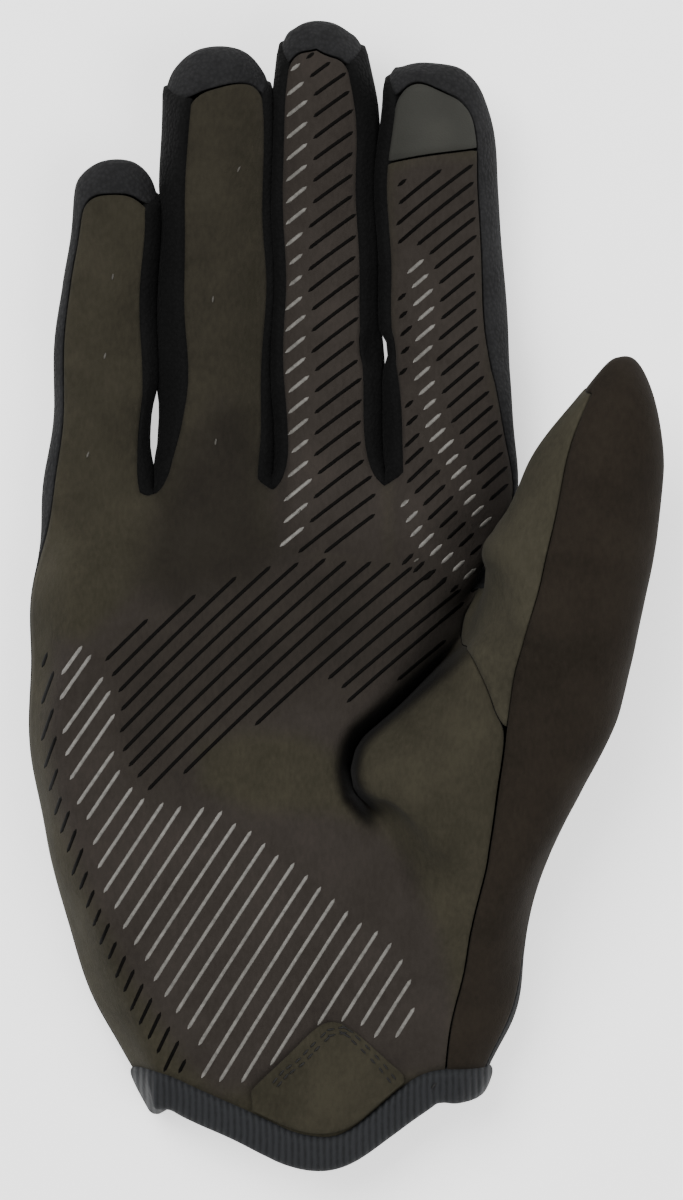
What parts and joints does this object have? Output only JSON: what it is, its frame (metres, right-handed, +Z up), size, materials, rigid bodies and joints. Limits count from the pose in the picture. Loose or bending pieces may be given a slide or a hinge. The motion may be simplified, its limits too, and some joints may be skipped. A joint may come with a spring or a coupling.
{
  "type": "cycling glove",
  "caption": "Full-finger cycling glove for the right hand, suede palm with grip stripes and knit back, lying palm up on its back.",
  "frame": {"origin": "centre of the glove's footprint, on the surface that it lies on", "axes": "+Y from the cuff to the fingertips, +X to the thumb's side, +Z up out of the palm"},
  "size_m": [0.1186, 0.2156, 0.0391],
  "materials": {
    "suede_olive": "brushed suede, matte",
    "suede_dark": "brushed suede, matte",
    "patch_grey": "smooth microfibre",
    "knit_black": "fine knit",
    "binding_grey": "ribbed elastic tape",
    "silicone_silver": "satin printed silicone",
    "silicone_black": "satin printed silicone",
    "thread_dark": "polyester thread"
  },
  "bodies": {
    "root": {"palm_panel": "suede_olive", "index_touch_patch": "patch_grey", "thumb_gusset": "suede_olive", "thumb_panel": "suede_dark", "back_panel": "knit_black", "fourchette_little_ring": "knit_black", "fourchette_ring_middle": "knit_black", "fourchette_middle_index": "knit_black", "wrist_tab": "suede_olive", "cuff_binding": "binding_grey"}
  },
  "joints": []
}
